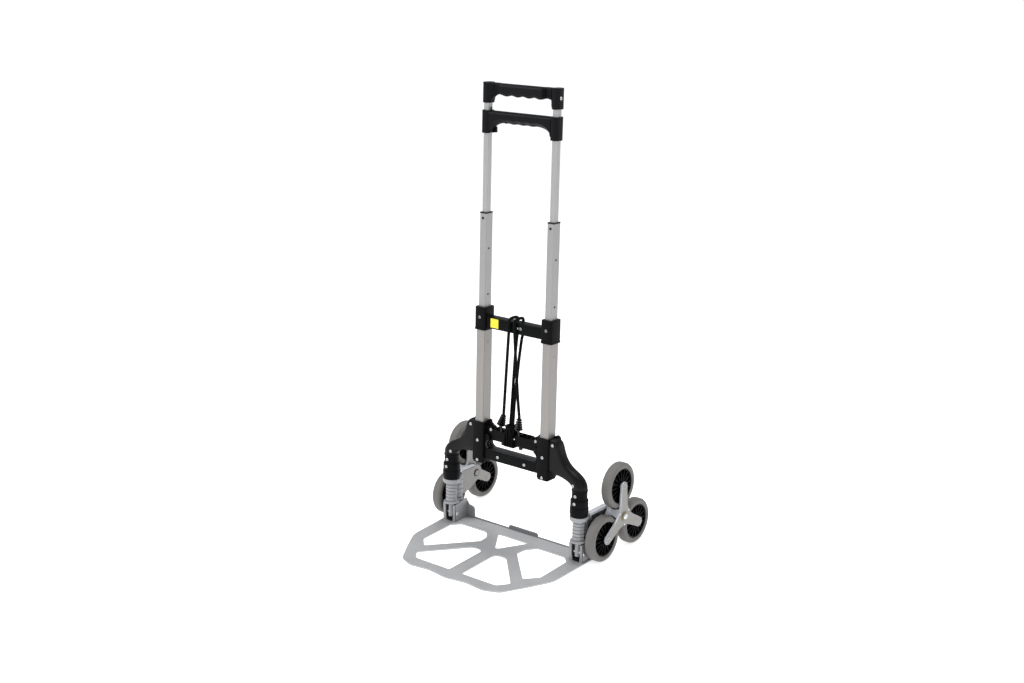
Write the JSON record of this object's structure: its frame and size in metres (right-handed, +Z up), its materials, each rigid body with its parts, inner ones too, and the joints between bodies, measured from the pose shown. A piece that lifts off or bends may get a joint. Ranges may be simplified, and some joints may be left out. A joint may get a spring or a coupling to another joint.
{
  "type": "stair-climbing folding hand truck",
  "caption": "Folding hand truck with a telescopic handle, squeeze grip, hinged toe plate, three-wheel stars that swing in, and a hooked elastic cord.",
  "frame": {"origin": "on the floor, at the middle of the outer box as seen from above", "axes": "+X to the right, +Y to the rear (wheel side), +Z up; the toe plate points towards -Y"},
  "size_m": [0.4672, 0.433, 0.9873],
  "materials": {
    "bracket_plastic": "satin black moulded plastic",
    "handle_plastic": "satin black moulded plastic",
    "small_plastic": "matt black",
    "hub_plastic": "matt black",
    "tube_aluminium": "satin anodised",
    "plate_aluminium": "silver grey, satin",
    "grey_casting": "silver grey moulded plastic",
    "star_steel": "silver grey, satin",
    "fastener_steel": "bright zinc plated",
    "label_film": "plain yellow film",
    "bungee_fabric": "braided black elastic cord",
    "tyre_rubber": "grey solid rubber, matt"
  },
  "bodies": {
    "frame": {"base_bracket": "bracket_plastic", "leg_left": "bracket_plastic", "leg_right": "bracket_plastic", "outer_tube_left": "tube_aluminium", "outer_tube_right": "tube_aluminium", "cross_bracket": "bracket_plastic", "sleeve_left": "bracket_plastic", "sleeve_right": "bracket_plastic", "column_left": "grey_casting", "column_right": "grey_casting", "column_end_left": "grey_casting", "column_end_right": "grey_casting", "frame_screws": "fastener_steel", "cross_screws": "fastener_steel", "label": "label_film", "pivot_pins": "fastener_steel", "bungee_left": "bungee_fabric", "bungee_right": "bungee_fabric", "bungee_hitch": "bungee_fabric", "hook_left": "small_plastic", "hook_right": "small_plastic"},
    "mid_stage": {"mid_tube_left": "tube_aluminium", "mid_tube_right": "tube_aluminium", "mid_bushes": "small_plastic"},
    "button_l": {"button_left": "small_plastic"},
    "button_r": {"button_right": "small_plastic"},
    "upper_stage": {"upper_tube_left": "tube_aluminium", "upper_tube_right": "tube_aluminium", "top_handle": "handle_plastic", "handle_screws": "fastener_steel"},
    "release": {"release_grip": "handle_plastic"},
    "toe": {"toe_plate": "plate_aluminium", "hinge_bracket_left": "plate_aluminium", "hinge_bracket_right": "plate_aluminium", "hinge_pins": "fastener_steel"},
    "arm_l": {"arm_shell_left": "plate_aluminium", "arm_core_left": "bracket_plastic", "arm_barrel_left": "grey_casting", "axle_left": "fastener_steel"},
    "star_l": {"star_frame_left": "star_steel", "star_spacers_left": "fastener_steel"},
    "wheel_l_top": {"tyre_left_top": "tyre_rubber", "hub_left_top": "hub_plastic"},
    "wheel_l_front": {"tyre_left_front": "tyre_rubber", "hub_left_front": "hub_plastic"},
    "wheel_l_rear": {"tyre_left_rear": "tyre_rubber", "hub_left_rear": "hub_plastic"},
    "arm_r": {"arm_shell_right": "plate_aluminium", "arm_core_right": "bracket_plastic", "arm_barrel_right": "grey_casting", "axle_right": "fastener_steel"},
    "star_r": {"star_frame_right": "star_steel", "star_spacers_right": "fastener_steel"},
    "wheel_r_top": {"tyre_right_top": "tyre_rubber", "hub_right_top": "hub_plastic"},
    "wheel_r_front": {"tyre_right_front": "tyre_rubber", "hub_right_front": "hub_plastic"},
    "wheel_r_rear": {"tyre_right_rear": "tyre_rubber", "hub_right_rear": "hub_plastic"}
  },
  "joints": [
    {"name": "mid_slide", "type": "slide", "parent": "frame", "child": "mid_stage", "axis": [0, -0.0523, -0.9986], "range_m": [0, 0.185]},
    {"name": "upper_slide", "type": "slide", "parent": "mid_stage", "child": "upper_stage", "axis": [0, -0.0523, -0.9986], "range_m": [0, 0.16]},
    {"name": "release_squeeze", "type": "slide", "parent": "upper_stage", "child": "release", "axis": [0, 0.0523, 0.9986], "range_m": [0, 0.008], "stiffness_N_per_m": 600},
    {"name": "button_left_press", "type": "slide", "parent": "mid_stage", "child": "button_l", "axis": [0, 0.9986, -0.0523], "range_m": [0, 0.001], "stiffness_N_per_m": 300},
    {"name": "button_right_press", "type": "slide", "parent": "mid_stage", "child": "button_r", "axis": [0, 0.9986, -0.0523], "range_m": [0, 0.001], "stiffness_N_per_m": 300},
    {"name": "toe_plate_fold", "type": "hinge", "parent": "frame", "child": "toe", "pos_m": [0, 0.01112, 0.022], "axis": [-1, 0, 0], "range_deg": [0, 90]},
    {"name": "arm_left_fold", "type": "hinge", "parent": "frame", "child": "arm_l", "pos_m": [-0.178, 0.03944, 0.06558], "axis": [0, 0.0523, 0.9986], "range_deg": [-90, 0]},
    {"name": "arm_right_fold", "type": "hinge", "parent": "frame", "child": "arm_r", "pos_m": [0.178, 0.03944, 0.06558], "axis": [0, 0.0523, 0.9986], "range_deg": [0, 90]},
    {"name": "star_left_turn", "type": "hinge", "parent": "arm_l", "child": "star_l", "pos_m": [-0.211, 0.10749, 0.084], "axis": [1, 0, 0], "continuous": true},
    {"name": "wheel_left_top_spin", "type": "hinge", "parent": "star_l", "child": "wheel_l_top", "pos_m": [-0.211, 0.10749, 0.152], "axis": [1, 0, 0], "continuous": true},
    {"name": "wheel_left_front_spin", "type": "hinge", "parent": "star_l", "child": "wheel_l_front", "pos_m": [-0.211, 0.0486, 0.05], "axis": [1, 0, 0], "continuous": true},
    {"name": "wheel_left_rear_spin", "type": "hinge", "parent": "star_l", "child": "wheel_l_rear", "pos_m": [-0.211, 0.16638, 0.05], "axis": [1, 0, 0], "continuous": true},
    {"name": "star_right_turn", "type": "hinge", "parent": "arm_r", "child": "star_r", "pos_m": [0.211, 0.10749, 0.084], "axis": [1, 0, 0], "continuous": true},
    {"name": "wheel_right_top_spin", "type": "hinge", "parent": "star_r", "child": "wheel_r_top", "pos_m": [0.211, 0.10749, 0.152], "axis": [1, 0, 0], "continuous": true},
    {"name": "wheel_right_front_spin", "type": "hinge", "parent": "star_r", "child": "wheel_r_front", "pos_m": [0.211, 0.0486, 0.05], "axis": [1, 0, 0], "continuous": true},
    {"name": "wheel_right_rear_spin", "type": "hinge", "parent": "star_r", "child": "wheel_r_rear", "pos_m": [0.211, 0.16638, 0.05], "axis": [1, 0, 0], "continuous": true}
  ],
  "couplings": [
    {"joint": "arm_left_fold", "follows": "toe_plate_fold", "ratio": -1},
    {"joint": "arm_right_fold", "follows": "toe_plate_fold", "ratio": 1}
  ]
}
